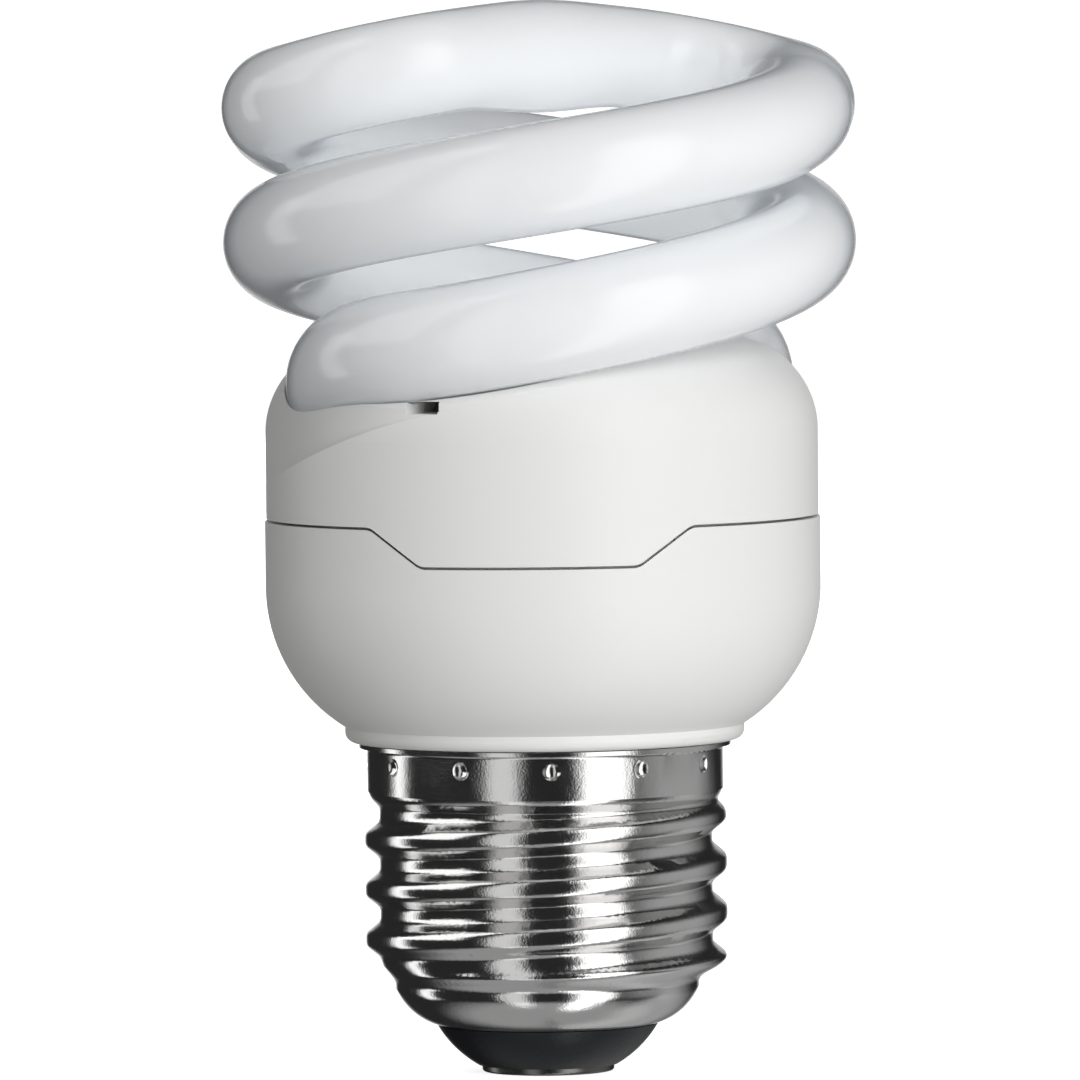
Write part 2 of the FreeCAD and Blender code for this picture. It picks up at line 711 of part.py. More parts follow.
def lower_housing():
    arc_r = LOWER_R - BOWL_ARC_R
    inner_arc = BOWL_ARC_R - LOWER_WALL
    low_angle = -math.degrees(math.acos((LIP_R - arc_r) / BOWL_ARC_R))
    floor_r = LIP_R - LOWER_WALL
    floor_angle = -math.degrees(math.acos((floor_r - arc_r) / inner_arc))
    outer_low = arc_point(arc_r, BOWL_ARC_Z, BOWL_ARC_R, low_angle)
    outer_mid = arc_point(arc_r, BOWL_ARC_Z, BOWL_ARC_R, low_angle / 2)
    inner_low = arc_point(arc_r, BOWL_ARC_Z, inner_arc, floor_angle)
    inner_mid = arc_point(arc_r, BOWL_ARC_Z, inner_arc, floor_angle / 2)
    lip_mid = arc_point(LIP_R - LIP_ROUND, LIP_Z + LIP_ROUND, LIP_ROUND, -45)
    body = revolved([
        (NECK_BORE_R, NECK_LOW_Z),
        (NECK_R, NECK_LOW_Z),
        (NECK_R, LIP_Z),
        (LIP_R - LIP_ROUND, LIP_Z),
        lip_mid + (LIP_R, LIP_Z + LIP_ROUND),
        outer_low,
        outer_mid + (LOWER_R, BOWL_ARC_Z),
        (LOWER_R, SEAM_Z - SEAM_GAP),
        (LOWER_BORE_R, SEAM_Z - SEAM_GAP),
        (LOWER_BORE_R, BOWL_ARC_Z),
        inner_mid + inner_low,
        (NECK_BORE_R, inner_low[1]),
    ])
    rib_middle = Vector(LOWER_BORE_R + (LOWER_WALL - RIB_DEPTH) / 2, 0, 0)
    rib = block(rib_middle, LOWER_WALL + RIB_DEPTH, RIB_T, BOARD_Z - RIB_H, RIB_H)
    rib = rib.common(lower_skin(arc_r, outer_low, outer_mid))
    body = body.fuse([turned(rib, 360.0 * (i + 0.5) / RIBS) for i in range(RIBS)])
    notch = seam_prism(SEAM_GAP)
    groove_top = SNAP_Z + SNAP_H + PART_GAP
    groove_low = SNAP_Z - PART_GAP
    groove = snap_beads(LOWER_BORE_R - CUT_LAP, LOWER_BORE_R + SNAP_DEPTH, groove_low, groove_top, SNAP_SPAN + 1)
    pockets = dimple_spheres(DIMPLE_SPHERE_R + SHELL_WALL + PART_GAP)
    neck_middle = Vector((NECK_R + NECK_BORE_R) / 2, 0, 0)
    slot = block(neck_middle, 3 * LOWER_WALL, 4 * SUPPLY_WIRE_R, NECK_LOW_Z, LEAD_NOTCH_H)
    slot = turned(slot, SHELL_LEAD_ANGLE)
    return body.cut([notch, turned(notch, 180), slot] + groove + pockets)


def lower_skin(arc_r, outer_low, outer_mid):
    """The solid under the lower housing's outer skin, a little inside it, to trim the ribs."""
    return revolved([
        (0, outer_low[1]),
        (outer_low[0] - LOWER_WALL / 2, outer_low[1]),
        (outer_mid[0] - LOWER_WALL / 2, outer_mid[1], LOWER_R - LOWER_WALL / 2, BOWL_ARC_Z),
        (LOWER_R - LOWER_WALL / 2, SEAM_Z),
        (0, SEAM_Z),
    ])


def dimple_spheres(radius):
    """Spheres that press the shell's collar into the neck, evenly round the lamp from the front."""
    centre_r = COLLAR_R - DIMPLE_DEPTH + DIMPLE_SPHERE_R
    spheres = []
    for i in range(DIMPLES):
        spheres.append(Part.makeSphere(radius, polar(centre_r, -90 + DIMPLE_TURN + 360 * i / DIMPLES, DIMPLE_Z)))
    return spheres


def barrel_radius(angle, z, inset):
    """The rolled thread: a wave that climbs one pitch a turn and fades out at both ends."""
    foot = z - BOWL_TOP_Z - THREAD_FOOT
    from_bowl = smooth_step(foot / ROOT_BLEND)
    to_collar = smooth_step((z - THREAD_TOP_Z + COLLAR_BLEND) / COLLAR_BLEND)
    base = BOWL_R + (THREAD_ROOT_R - BOWL_R) * from_bowl + (COLLAR_R - THREAD_ROOT_R) * to_collar
    fade = smooth_step(foot / THREAD_RUN_IN) * smooth_step((THREAD_TOP_Z - z) / THREAD_RUN_IN)
    wave_gain = 3 / (2 + math.cos(2 * math.pi / THREAD_ROWS_PER_PITCH))
    phase = 2 * math.pi * (z - THREAD_CREST_Z) / THREAD_PITCH - angle
    return base - inset + (THREAD_CREST_R - THREAD_ROOT_R) * fade * wave_gain * (1 + math.cos(phase)) / 2


def barrel(inset):
    """The threaded barrel as one closed solid, set in by the sheet's thickness for its inside."""
    top_z = COLLAR_Z + BARREL_LAP
    rows = int(round((top_z - BOWL_TOP_Z) * THREAD_ROWS_PER_PITCH / THREAD_PITCH))
    round_gain = 3 / (2 + math.cos(2 * math.pi / THREAD_COLUMNS))
    poles = []
    for i in range(THREAD_COLUMNS):
        angle = 360.0 * i / THREAD_COLUMNS
        column = []
        for j in range(rows + 1):
            z = BOWL_TOP_Z + (top_z - BOWL_TOP_Z) * j / rows
            column.append(polar(barrel_radius(math.radians(angle), z, inset) * round_gain, angle + COIL_TURN, z))
        poles.append(column)
    spans = rows - 2
    surface = Part.BSplineSurface()
    surface.buildFromPolesMultsKnots(
        poles,
        [1] * (THREAD_COLUMNS + 1),
        [4] + [1] * (spans - 1) + [4],
        list(range(THREAD_COLUMNS + 1)),
        list(range(spans + 1)),
        True,
        False,
        3,
        3,
    )
    faces = [surface.toShape()]
    for v in (0, spans):
        faces.append(Part.Face(Part.Wire([surface.vIso(v).toShape()])))
    shell = Part.makeShell(faces)
    shell.sewShape()
    solid = Part.makeSolid(shell)
    if solid.Volume < 0:
        solid.reverse()
    return solid


def screw_shell():
    wall = SHELL_WALL
    lap = SHELL_LAP
    band_top = BOWL_TOP_Z + BOWL_BAND_TOP
    band_low = BOWL_TOP_Z - BOWL_BAND_LOW
    mid_r = SHELL_MOUTH_R + BOWL_BULGE_R * (BOWL_R - SHELL_MOUTH_R)
    mid_z = SHELL_MOUTH_Z + BOWL_BULGE_Z * (BOWL_TOP_Z - SHELL_MOUTH_Z)
    lean = wall * BOWL_LEAN
    bowl = revolved([
        (SHELL_MOUTH_R, SHELL_MOUTH_Z),
        (mid_r, mid_z, BOWL_R + lap, band_low),
        (BOWL_R + lap, band_top),
        (BOWL_R - wall - lap, band_top),
        (BOWL_R - wall - lap, band_low),
        (mid_r - lean, mid_z + lean, SHELL_MOUTH_R - wall / 3, SHELL_MOUTH_Z + wall),
    ])
    thread = barrel(0.0).cut(barrel(wall))
    curl_r = COLLAR_R + COLLAR_CURL
    outer_curl = arc_point(curl_r, COLLAR_FLARE_Z, COLLAR_CURL, 135)
    inner_curl = arc_point(curl_r, COLLAR_FLARE_Z, COLLAR_CURL + wall, 135)
    collar = revolved([
        (COLLAR_R - wall - lap, COLLAR_Z),
        (COLLAR_R + lap, COLLAR_Z),
        (COLLAR_R + lap, COLLAR_FLARE_Z),
        outer_curl + (curl_r, COLLAR_FLARE_Z + COLLAR_CURL),
        (COLLAR_FLARE_R, COLLAR_FLARE_Z + COLLAR_CURL),
        (COLLAR_FLARE_R, COLLAR_FLARE_Z + COLLAR_CURL + wall),
        (curl_r, COLLAR_FLARE_Z + COLLAR_CURL + wall),
        inner_curl + (COLLAR_R - wall - lap, COLLAR_FLARE_Z),
    ])
    inside = cylinder(COLLAR_R - wall / 2, Vector(0, 0, COLLAR_Z), COLLAR_FLARE_Z - COLLAR_Z)
    bumps = [sphere.common(inside) for sphere in dimple_spheres(DIMPLE_SPHERE_R + wall)]
    collar = collar.fuse(bumps).cut(dimple_spheres(DIMPLE_SPHERE_R))
    return thread.fuse([bowl, collar])


def cap_insulator():
    """The black glass between the shell and the centre contact, with a hole for the contact's eyelet."""
    hole = EYELET_R + PART_GAP
    rim_r = SHELL_MOUTH_R - TOUCH
    rim_z = SHELL_MOUTH_Z - TOUCH
    throat_r = SHELL_MOUTH_R - SHELL_WALL - PART_GAP
    mid_r = INSULATOR_LOW_R + INSULATOR_BULGE_R * (rim_r - INSULATOR_LOW_R)
    mid_z = CONTACT_T + INSULATOR_BULGE_Z * (rim_z - CONTACT_T)
    return revolved([
        (hole, CONTACT_T),
        (INSULATOR_LOW_R, CONTACT_T),
        (mid_r, mid_z, rim_r, rim_z),
        (throat_r, rim_z),
        (throat_r, SHELL_MOUTH_Z + SHELL_WALL + PART_GAP),
        (INSULATOR_FLANGE_R, INSULATOR_TOP_Z - INSULATOR_FLANGE_T),
        (INSULATOR_FLANGE_R, INSULATOR_TOP_Z),
        (hole, INSULATOR_TOP_Z),
    ])


def centre_contact():
    round_mid = arc_point(CONTACT_R - CONTACT_ROUND, CONTACT_ROUND, CONTACT_ROUND, -45)
    return revolved([
        (0, 0),
        (CONTACT_R - CONTACT_ROUND, 0),
        round_mid + (CONTACT_R, CONTACT_ROUND),
        (CONTACT_R, CONTACT_T),
        (EYELET_R, CONTACT_T),
        (EYELET_R, INSULATOR_TOP_Z),
        (EYELET_BORE_R, INSULATOR_TOP_Z),
        (EYELET_BORE_R, CONTACT_T),
        (0, CONTACT_T),
    ])


def pin(x, y, low_z, high_z, radius=LEAD_R):
    """A straight lead that goes through the board, which is drilled for it."""
    drilled.append((x, y, radius + HOLE_CLEARANCE))
    return cylinder(radius, Vector(x, y, low_z), high_z - low_z)


def hanging_pins(centre, offsets):
    """Leads from a part under the board, cut off just above it."""
    return [pin(centre.x + dx, centre.y + dy, BOARD_Z - LEAD_ROOT, BOARD_TOP_Z + LEAD_STUB) for dx, dy in offsets]


def smoothing_capacitor():
    """An electrolytic can with its sleeve, crimped near the leads."""
    low_z = BOARD_Z - CAPACITOR_H
    groove_z = BOARD_Z - GROOVE_DROP
    flat_r = CAPACITOR_R - CAPACITOR_ROUND
    can = revolved([
        (0, low_z + CAPACITOR_DISH),
        (flat_r - CAPACITOR_RIM - CAPACITOR_DISH, low_z + CAPACITOR_DISH),
        (flat_r - CAPACITOR_RIM, low_z),
        (flat_r, low_z),
        arc_point(flat_r, low_z + CAPACITOR_ROUND, CAPACITOR_ROUND, -45) + (CAPACITOR_R, low_z + CAPACITOR_ROUND),
        (CAPACITOR_R, groove_z - GROOVE_H / 2),
        (CAPACITOR_R - GROOVE_DEPTH, groove_z, CAPACITOR_R, groove_z + GROOVE_H / 2),
        (CAPACITOR_R, BOARD_Z - CAPACITOR_ROUND),
        arc_point(flat_r, BOARD_Z - CAPACITOR_ROUND, CAPACITOR_ROUND, 45) + (flat_r, BOARD_Z),
        (0, BOARD_Z),
    ])
    can.translate(CAPACITOR_AT)
    half = CAPACITOR_PITCH / 2
    return can.fuse(hanging_pins(CAPACITOR_AT, [(0, -half), (0, half)]))


def core_half(low_z, up):
    """One E-shaped ferrite half of the choke, with its legs pointing up or down."""
    body = block(CHOKE_AT, CHOKE_WIDTH, CHOKE_DEPTH, low_z, CHOKE_HALF_H)
    window = (CHOKE_WIDTH - CHOKE_CENTRE_LEG) / 2 - CHOKE_OUTER_LEG
    leg_z = low_z + CHOKE_BACK if up else low_z
    for side in (-1, 1):
        centre = CHOKE_AT + Vector(side * (CHOKE_CENTRE_LEG + window) / 2, 0, 0)
        body = body.cut(block(centre, window, CHOKE_DEPTH + 1, leg_z, CHOKE_HALF_H - CHOKE_BACK))
    return body


def choke_core_top():
    return BOARD_Z - BOBBIN_BASE_H


def choke_core():
    top = choke_core_top()
    lower = core_half(top - 2 * CHOKE_HALF_H, True)
    upper = core_half(top - CHOKE_HALF_H, False)
    return Part.makeCompound([lower, upper])


def window_z():
    """The lowest and highest point of the choke's winding window."""
    top = choke_core_top()
    return top - 2 * CHOKE_HALF_H + CHOKE_BACK + BOBBIN_FIT / 2, top - CHOKE_BACK - BOBBIN_FIT / 2


def choke_bobbin():
    low_z, high_z = window_z()
    reach = 2 * (BOBBIN_WALL + WINDING_T)
    leg_w = CHOKE_CENTRE_LEG + 2 * BOBBIN_FIT
    leg_d = CHOKE_DEPTH + 2 * BOBBIN_FIT
    tube = block(CHOKE_AT, leg_w + 2 * BOBBIN_WALL, leg_d + 2 * BOBBIN_WALL, low_z, high_z - low_z)
    flanges = [block(CHOKE_AT, leg_w + reach, leg_d + reach, z, BOBBIN_WALL) for z in (low_z, high_z - BOBBIN_WALL)]
    base_w = 2 * (BOBBIN_PIN_X + BOBBIN_EDGE)
    base_d = 2 * (BOBBIN_PIN_Y + BOBBIN_EDGE)
    base = block(CHOKE_AT, base_w, base_d, choke_core_top(), BOBBIN_BASE_H)
    cheeks = []
    for side in (-1, 1):
        centre = CHOKE_AT + Vector(0, side * ((leg_d + CHEEK_T) / 2 + BOBBIN_FIT), 0)
        height = choke_core_top() - high_z + 2 * BOBBIN_WALL
        cheeks.append(block(centre, CHOKE_CENTRE_LEG, CHEEK_T, high_z - BOBBIN_WALL, height))
    hole = block(CHOKE_AT, leg_w, leg_d, low_z - CUT_LAP, high_z - low_z + 2 * CUT_LAP)
    body = tube.fuse(flanges).cut(hole)
    body = body.fuse([base] + cheeks)
    offsets = [(sx * BOBBIN_PIN_X, sy * BOBBIN_PIN_Y) for sx in (-1, 1) for sy in (-1, 1)]
    return body.fuse(hanging_pins(CHOKE_AT, offsets))


def choke_winding():
    low_z, high_z = window_z()
    inner_w = CHOKE_CENTRE_LEG + 2 * BOBBIN_FIT + 2 * BOBBIN_WALL
    inner_d = CHOKE_DEPTH + 2 * BOBBIN_FIT + 2 * BOBBIN_WALL
    start = low_z + BOBBIN_WALL
    height = high_z - low_z - 2 * BOBBIN_WALL
    coil = block(CHOKE_AT, inner_w + 2 * WINDING_T, inner_d + 2 * WINDING_T, start, height)
    upright = [e for e in coil.Edges if abs(e.tangentAt(e.FirstParameter).z) > 0.9]
    coil = coil.makeFillet(WINDING_ROUND, upright)
    return coil.cut(block(CHOKE_AT, inner_w, inner_d, start - CUT_LAP, height + 2 * CUT_LAP))


def drive_ring_core():
    top = BOARD_Z - RING_WIRE
    body = ring(RING_BORE_R, RING_R, top - RING_H, top)
    body.translate(RING_AT)
    return body


def drive_windings():
    """Three short windings round the ring core."""
    top = BOARD_Z
    low = top - RING_H - 2 * RING_WIRE
    gap = TOUCH
    coils = []
    for i in range(RING_WINDINGS):
        outer = revolved_span([
            (RING_BORE_R - RING_WIRE, low),
            (RING_R + RING_WIRE, low),
            (RING_R + RING_WIRE, top),
            (RING_BORE_R - RING_WIRE, top),
        ], RING_WINDING_SPAN)
        bore = ring(RING_BORE_R - gap, RING_R + gap, low + RING_WIRE - gap, top - RING_WIRE + gap)
        coil = turned(outer.cut(bore), 360.0 * i / RING_WINDINGS)
        coil.translate(RING_AT)
        coils.append(coil)
    return Part.makeCompound(coils)


def transistor(centre, facing):
    """A small plastic transistor with a flat face and three leads, hanging from the board."""
    low_z = BOARD_Z - TRANSISTOR_H - TRANSISTOR_STAND
    round_part = cylinder(TRANSISTOR_W / 2, Vector(0, 0, low_z), TRANSISTOR_H)
    keep = block(Vector(0, (TRANSISTOR_D - TRANSISTOR_W) / 2, 0), TRANSISTOR_W, TRANSISTOR_D, low_z, TRANSISTOR_H)
    body = turned(round_part.common(keep), facing)
    body.translate(centre)
    lead_root = low_z + TRANSISTOR_H - TRANSISTOR_STAND
    leads = []
    for i in (-1, 0, 1):
        spot = centre + polar(i * TRANSISTOR_PITCH, facing)
        leads.append(pin(spot.x, spot.y, lead_root, BOARD_TOP_Z + LEAD_STUB, TRANSISTOR_LEAD_R))
    return body.fuse(leads)


def film_capacitor(size, centre, pitch, facing=0.0):
    """A dipped film capacitor, hanging from the board."""
    body = Part.makeBox(size.x, size.y, size.z, Vector(-size.x / 2, -size.y / 2, BOARD_Z - size.z))
    body = turned(body.makeFillet(min(FILM_ROUND, size.y * 0.4), body.Edges), facing)
    body.translate(centre)
    ends = [polar(side * pitch / 2, facing) for side in (-1, 1)]
    return body.fuse(hanging_pins(centre, [(end.x, end.y) for end in ends]))


def inductor_core():
    """A drum core, standing under the board."""
    low = BOARD_Z - INDUCTOR_H
    body = revolved([
        (0, low),
        (INDUCTOR_R, low),
        (INDUCTOR_R, low + INDUCTOR_FLANGE),
        (INDUCTOR_WAIST_R, low + INDUCTOR_FLANGE),
        (INDUCTOR_WAIST_R, BOARD_Z - INDUCTOR_FLANGE),
        (INDUCTOR_R, BOARD_Z - INDUCTOR_FLANGE),
        (INDUCTOR_R, BOARD_Z),
        (0, BOARD_Z),
    ])
    body.translate(INDUCTOR_AT)
    return body.fuse(hanging_pins(INDUCTOR_AT, [(-INDUCTOR_PITCH / 2, 0), (INDUCTOR_PITCH / 2, 0)]))


def inductor_winding():
    low = BOARD_Z - INDUCTOR_H + INDUCTOR_FLANGE
    coil = ring(INDUCTOR_WAIST_R + TOUCH / 2, INDUCTOR_R - INDUCTOR_SPARE, low, BOARD_Z - INDUCTOR_FLANGE)
    coil.translate(INDUCTOR_AT)
    return coil


def axial_part(centre, radius, length, along_y=True):
    """A small part that lies on the board on two bent leads, which end flush under it."""
    height = BOARD_TOP_Z + radius
    along = Vector(0, 1, 0) if along_y else Vector(1, 0, 0)
    body = cylinder(radius, Vector(centre.x, centre.y, height) - along * (length / 2), length, along)
    reach = length / 2 + AXIAL_REACH
    leads = []
    for side in (-1, 1):
        foot = Vector(centre.x, centre.y, BOARD_Z) + along * (side * reach)
        drilled.append((foot.x, foot.y, LEAD_R + HOLE_CLEARANCE))
        top = Vector(foot.x, foot.y, height)
        inner = Vector(centre.x, centre.y, height) + along * (side * (length / 2 - LEAD_ROOT))
        leads.append(bent_wire([foot, top, inner], LEAD_R, AXIAL_BEND))
    return body.fuse(leads)


def rectifier_diodes():
    row = [Vector((i - 1.5) * DIODE_PITCH, DIODE_ROW_Y, 0) for i in range(4)]
    return Part.makeCompound([axial_part(spot, DIODE_R, DIODE_L) for spot in row])


def base_resistors():
    row = [Vector((i - 1.5) * RESISTOR_PITCH, RESISTOR_ROW_Y, 0) for i in range(4)]
    return Part.makeCompound([axial_part(spot, RESISTOR_R, RESISTOR_L) for spot in row])


def trigger_diode():
    return axial_part(TRIGGER_AT, TRIGGER_R, TRIGGER_L)


def fusible_resistor():
    """The resistor in the live wire, hanging in the cap."""
    low = FUSE_TOP_Z - FUSE_L
    waist_r = FUSE_R - FUSE_WAIST
    step = FUSE_CAP_H + FUSE_CHAMFER
    body = revolved([
        (0, low),
        (FUSE_R - FUSE_CHAMFER, low),
        (FUSE_R, low + FUSE_CHAMFER),
        (FUSE_R, low + FUSE_CAP_H),
        (waist_r, low + step),
        (waist_r, FUSE_TOP_Z - step),
        (FUSE_R, FUSE_TOP_Z - FUSE_CAP_H),
        (FUSE_R, FUSE_TOP_Z - FUSE_CHAMFER),
        (FUSE_R - FUSE_CHAMFER, FUSE_TOP_Z),
        (0, FUSE_TOP_Z),
    ])
    body.translate(FUSE_AT)
    return body


def contact_lead():
    """The live wire: from the board to the fusible resistor, and from it down into the contact's eyelet."""
    upper = pin(FUSE_AT.x, FUSE_AT.y, FUSE_TOP_Z, BOARD_TOP_Z + LEAD_STUB, SUPPLY_WIRE_R)
    foot_z = FUSE_TOP_Z - FUSE_L
    lower = bent_wire([
        Vector(FUSE_AT.x, FUSE_AT.y, foot_z),
        Vector(FUSE_AT.x, FUSE_AT.y, foot_z - CONTACT_LEAD_DROP),
        Vector(0, 0, INSULATOR_TOP_Z + CONTACT_LEAD_BEND),
        Vector(0, 0, CONTACT_T + TOUCH),
    ], SUPPLY_WIRE_R, CONTACT_LEAD_BEND)
    return Part.makeCompound([upper, lower])


def shell_lead():
    """The neutral wire, whose end is held between the neck and the shell in a notch of the neck."""
    drop = polar(NECK_BORE_R - SHELL_LEAD_GAP - SUPPLY_WIRE_R, SHELL_LEAD_ANGLE)
    low_z = NECK_LOW_Z + SHELL_LEAD_RISE
    drilled.append((drop.x, drop.y, SUPPLY_WIRE_R + HOLE_CLEARANCE))
    return bent_wire([
        Vector(drop.x, drop.y, BOARD_TOP_Z + LEAD_STUB),
        Vector(drop.x, drop.y, low_z),
        polar(COLLAR_R - SHELL_WALL - TOUCH, SHELL_LEAD_ANGLE, low_z),
    ], SUPPLY_WIRE_R, SHELL_LEAD_BEND)


def filament_spots():
    """Where each filament lead leaves the sealed end, and where its post stands, in the coil's own frame."""
    point, outward, side = end_frame()
    spots = []
    for sign in (-1, 1):
        start = point + outward * (SEAL_H + PART_GAP) + side * (sign * FILAMENT_SPACING)
        along = Vector(outward.x, outward.y, 0).normalize()
        post = start + along * FILAMENT_REACH
        spots.append((start, Vector(post.x, post.y, 0)))
    return spots


def wire_posts():
    """Four square pins on the board that the filament leads are wrapped on."""
    posts = []
    for start, spot in filament_spots():
        for half in (0, 180):
            post = turned(block(spot, POST_SIDE, POST_SIDE, BOARD_Z, BOARD_T + POST_H), COIL_TURN + half)
            middle = post.CenterOfMass
            drilled.append((middle.x, middle.y, POST_SIDE / math.sqrt(2) + HOLE_CLEARANCE))
            posts.append(post)
    return Part.makeCompound(posts)


def filament_leads():
    """The wires from the sealed ends, each with one turn round its post."""
    wrap_r = POST_SIDE / math.sqrt(2) + WRAP_WIRE_R + TOUCH / 2
    wrap_z = BOARD_TOP_Z + POST_H - WRAP_DROP
    leads = []
    for start, spot in filament_spots():
        wrap = Part.makeTorus(wrap_r, WRAP_WIRE_R, Vector(spot.x, spot.y, wrap_z))
        towards = Vector(start.x - spot.x, start.y - spot.y, 0).normalize()
        foot = Vector(spot.x, spot.y, wrap_z) + towards * wrap_r
        run = foot - start
        wire = cylinder(FILAMENT_WIRE_R, start, run.Length, run)
        lead = wire.fuse(wrap)
        for half in (0, 180):
            leads.append(turned(lead, COIL_TURN + half))
    return Part.makeCompound(leads)


def circuit_board():
    """The round board, drilled for every lead that was placed before it."""
    board = cylinder(BOARD_R, Vector(0, 0, BOARD_Z), BOARD_T)
    holes = [cylinder(radius, Vector(x, y, BOARD_Z - CUT_LAP), BOARD_T + 2 * CUT_LAP) for x, y, radius in drilled]
    return board.cut(holes)


def build():
    nodes = {
        "centre_contact": centre_contact(),
        "cap_insulator": cap_insulator(),
        "screw_shell": screw_shell(),
        "lower_housing": lower_housing(),
        "upper_housing": upper_housing(),
        "discharge_tube": discharge_tube(),
        "tube_cement": tube_cement(),
        "filament_leads": filament_leads(),
        "wire_posts": wire_posts(),
        "smoothing_capacitor": smoothing_capacitor(),
        "choke_core": choke_core(),
        "choke_bobbin": choke_bobbin(),
        "choke_winding": choke_winding(),
        "drive_ring_core": drive_ring_core(),
        "drive_windings": drive_windings(),
        "high_side_transistor": transistor(HIGH_TRANSISTOR_AT, 90),
        "low_side_transistor": transistor(LOW_TRANSISTOR_AT, 90),
        "inductor_core": inductor_core(),
        "inductor_winding": inductor_winding(),
        "rectifier_diodes": rectifier_diodes(),
        "base_resistors": base_resistors(),
        "trigger_diode": trigger_diode(),
        "fusible_resistor": fusible_resistor(),
        "contact_lead": contact_lead(),
        "shell_lead": shell_lead(),
        "start_capacitor": film_capacitor(START_CAPACITOR_SIZE, START_CAPACITOR_AT, FILM_PITCH),
        "blocking_capacitor": film_capacitor(BLOCKING_CAPACITOR_SIZE, BLOCKING_CAPACITOR_AT, FILM_PITCH),
        "snubber_capacitor": film_capacitor(SNUBBER_CAPACITOR_SIZE, SNUBBER_CAPACITOR_AT, SNUBBER_PITCH, 90),
    }
    nodes["circuit_board"] = circuit_board()
    return nodes


os.makedirs("parts", exist_ok=True)
for name, shape in build().items():
    shape.exportStep("parts/" + name + ".step")
    print(name, len(shape.Solids), round(shape.Volume, 2), shape.isValid())
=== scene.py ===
import bmesh
import bpy
import math
from mathutils import Matrix, Vector


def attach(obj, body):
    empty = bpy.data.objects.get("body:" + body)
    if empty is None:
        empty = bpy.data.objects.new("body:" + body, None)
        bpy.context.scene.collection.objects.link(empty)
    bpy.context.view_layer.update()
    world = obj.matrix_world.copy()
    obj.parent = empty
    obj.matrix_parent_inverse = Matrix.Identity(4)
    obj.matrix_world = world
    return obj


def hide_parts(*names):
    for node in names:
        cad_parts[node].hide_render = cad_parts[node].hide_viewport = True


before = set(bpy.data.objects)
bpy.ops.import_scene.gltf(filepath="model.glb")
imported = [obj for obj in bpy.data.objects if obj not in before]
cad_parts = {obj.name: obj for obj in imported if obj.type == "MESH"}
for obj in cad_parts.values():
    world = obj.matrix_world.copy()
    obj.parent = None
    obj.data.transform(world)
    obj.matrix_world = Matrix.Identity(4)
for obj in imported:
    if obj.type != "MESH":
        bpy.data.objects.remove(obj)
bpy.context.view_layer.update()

# Camera: a long lens just above the lamp's top, turned a little from its front
CAMERA_DISTANCE = 0.870
CAMERA_HEIGHT = 0.0815
CAMERA_AZIMUTH = 3.0
CAMERA_LENS = 400.0
CAMERA_ROLL = 0.62
SENSOR_WIDTH = 36.0
NEAR_CLIP = 0.01
FAR_CLIP = 100.0
AIM = Vector((-0.0002, 0.0, 0.0386))

# Tube: the phosphor's colour, how far light soaks through it, and a painted glow, light painted into the
# tube to brighten its shaded sides as if the milky glass carried light round from its lit side
PHOSPHOR = (0.875, 0.900, 0.930)
PHOSPHOR_DEPTH = 0.008
PAINTED_GLOW = 0.045

# Painted shade on the tube's wall: the tones it darkens to as it turns edge on, standing in for the dark rim
# of the clear glass, and how far from face on it is seen where each is reached
FACING_STOP = 0.55
SLANT_STOP = 0.7
SLANT_PAINTED_SHADE = (0.86, 0.895, 0.93)
EDGE_STOP = 0.86
EDGE_PAINTED_SHADE = (0.50, 0.52, 0.54)

# Noise of the finishes: its detail, and the height of the relief that goes with an uneven gloss
FINISH_DETAIL = 3.0
FINISH_HEIGHT = 0.0001

# Relief of the plating, as noise scale, strength and height: waves from the rolling, and a fine grain
PLATE_WAVES = (350.0, 0.12, 0.0002)
PLATE_GRAIN = (6500.0, 0.16, 0.00005)
PLATE_DETAIL = 2.0

# Thread of the cap, where the solid has it
THREAD_PITCH = 0.003629
THREAD_CREST_Z = 0.0115
THREAD_LOW_Z = 0.0066
THREAD_TOP_Z = 0.0204
THREAD_RUN_IN = 0.0017
THREAD_DEPTH = 0.0011
THREAD_TURN = 3.0

# Joined copies: points nearer than this are one, and edges sharper than this angle in degrees stay sharp
JOIN_DISTANCE = 1e-6
SHARP_ANGLE = 35.0

# Lights round the lamp: name, azimuth and elevation in degrees, width and height in metres, and watts
MIDDLE = Vector((0.0, 0.0, 0.045))
LIGHT_DISTANCE = 1.1
LIGHTS = [
    ("key", 27, 12, 0.45, 0.75, 7.8),
    ("low_fill", 75, -40, 0.60, 0.60, 2.0),
    ("back", 180, 20, 0.60, 0.60, 5.0),
]

# Glow in the coil's hollow: its middle, its radius and its watts
HOLLOW = Vector((0.0, 0.0, 0.0600))
HOLLOW_R = 0.006
HOLLOW_POWER = 0.0011

# Floor and background, as bright as the photo's white
FLOOR_WIDTH = 40.0
FLOOR_GLOW = 0.8
BACKGROUND = 1.1

# Daylight of the studio that reaches every side, and what glossy surfaces see where no card stands
AMBIENT = 0.33
DARK_ROOM = 0.025

# Soft cards round the lamp, as glossy surfaces see them: azimuth to the right of the front and
# elevation of the middle, half width, half height and soft edge in degrees, and brightness.
# Azimuth ends at 180 on either side, so a card at one end reaches no further round than that.
CARDS = [
    (42, 32, 18, 20, 8, 2.3),
    (42, -30, 16, 42, 6, 1.8),
    (-80, 41, 24, 36, 5, 1.5),
    (-107, -5, 7, 26, 4, 1.5),
    (-25, -5, 11, 60, 5, 0.85),
    (100, 0, 32, 26, 22, 0.42),
    (0, 90, 180, 26, 10, 0.5),
    (0, -90, 180, 40, 12, 0.36),
    (180, -40, 75, 18, 12, 0.40),
    (180, 0, 10, 14, 5, 0.6),
    (-180, 0, 14, 14, 5, 0.8),
]


